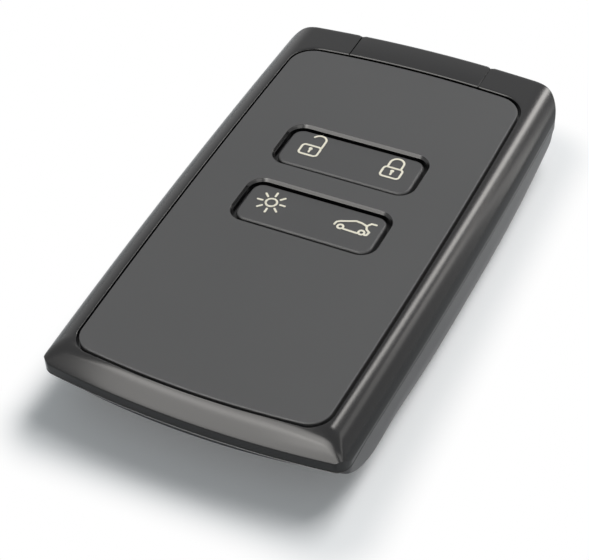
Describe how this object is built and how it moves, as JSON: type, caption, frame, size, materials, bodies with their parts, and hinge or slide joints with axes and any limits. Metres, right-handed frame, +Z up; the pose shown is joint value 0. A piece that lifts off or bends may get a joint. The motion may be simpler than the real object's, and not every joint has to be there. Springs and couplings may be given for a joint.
{
  "type": "car key fob",
  "caption": "Flat hands-free car key card with tilting rocker buttons, a slide-out emergency blade and a clip-on rear cover.",
  "frame": {"origin": "middle of the card's length and width, on the surface that it rests on", "axes": "+Y along the card towards the emergency key's head, +Z up through the buttons, X across"},
  "size_m": [0.0466, 0.082, 0.0125],
  "materials": {
    "bezel_gloss": "polished black",
    "panel_matte": "fine matte dark grey",
    "rocker_matte": "fine matte dark grey",
    "symbol_ink": "printed cream",
    "cover_matte": "matte dark grey",
    "button_matte": "matte black",
    "carrier_plastic": "matte dark",
    "silicone": "soft grey",
    "board_laminate": "green solder mask",
    "switch_metal": "satin",
    "chip_resin": "matte black",
    "can_metal": "satin",
    "capacitor_ceramic": "plain tan",
    "ferrite": "dark grey",
    "copper_wire": "enamelled",
    "battery_steel": "bright nickel",
    "contact_metal": "nickelled",
    "screw_steel": "dark zinc",
    "blade_steel": "ground",
    "spring_steel": "bright wire"
  },
  "bodies": {
    "main": {"front_bezel": "bezel_gloss", "front_panel": "panel_matte", "keypad_carrier": "carrier_plastic", "keypad_membrane": "silicone", "circuit_board": "board_laminate", "unlock_switch": "switch_metal", "lock_switch": "switch_metal", "light_switch": "switch_metal", "tailgate_switch": "switch_metal", "controller_chip": "chip_resin", "radio_chip": "chip_resin", "crystal": "can_metal", "capacitors": "capacitor_ceramic", "antenna_core": "ferrite", "antenna_coil": "copper_wire", "battery": "battery_steel", "negative_contact": "contact_metal", "positive_contact": "contact_metal", "inner_frame": "carrier_plastic", "frame_screws": "screw_steel", "release_springs": "spring_steel"},
    "upper_rocker": {"upper_rocker": "rocker_matte", "unlock_symbol": "symbol_ink", "lock_symbol": "symbol_ink"},
    "lower_rocker": {"lower_rocker": "rocker_matte", "light_symbol": "symbol_ink", "tailgate_symbol": "symbol_ink"},
    "emergency_key": {"key_head": "bezel_gloss", "key_blade": "blade_steel", "key_pin": "screw_steel"},
    "release_button": {"release_button": "button_matte"},
    "rear_cover": {"rear_cover": "cover_matte"}
  },
  "joints": [
    {"name": "upper_rocker_tilt", "type": "hinge", "parent": "main", "child": "upper_rocker", "pos_m": [0, 0.01115, 0.01045], "axis": [0, 1, 0], "range_deg": [-2.4, 2.4], "stiffness_Nm_per_rad": 0.25, "deforming": ["keypad_membrane"]},
    {"name": "lower_rocker_tilt", "type": "hinge", "parent": "main", "child": "lower_rocker", "pos_m": [0, -0.0023, 0.01045], "axis": [0, 1, 0], "range_deg": [-2.4, 2.4], "stiffness_Nm_per_rad": 0.25, "deforming": ["keypad_membrane"]},
    {"name": "emergency_key_slide", "type": "slide", "parent": "main", "child": "emergency_key", "axis": [0, 1, 0], "range_m": [0, 0.046]},
    {"name": "release_press", "type": "slide", "parent": "main", "child": "release_button", "axis": [0, 0, 1], "range_m": [0, 0.0007], "stiffness_N_per_m": 500, "springref_m": -0.0007, "deforming": ["release_springs"]},
    {"name": "rear_cover_slide", "type": "slide", "parent": "main", "child": "rear_cover", "axis": [0, 0, -1], "range_m": [0, 0.025]}
  ]
}
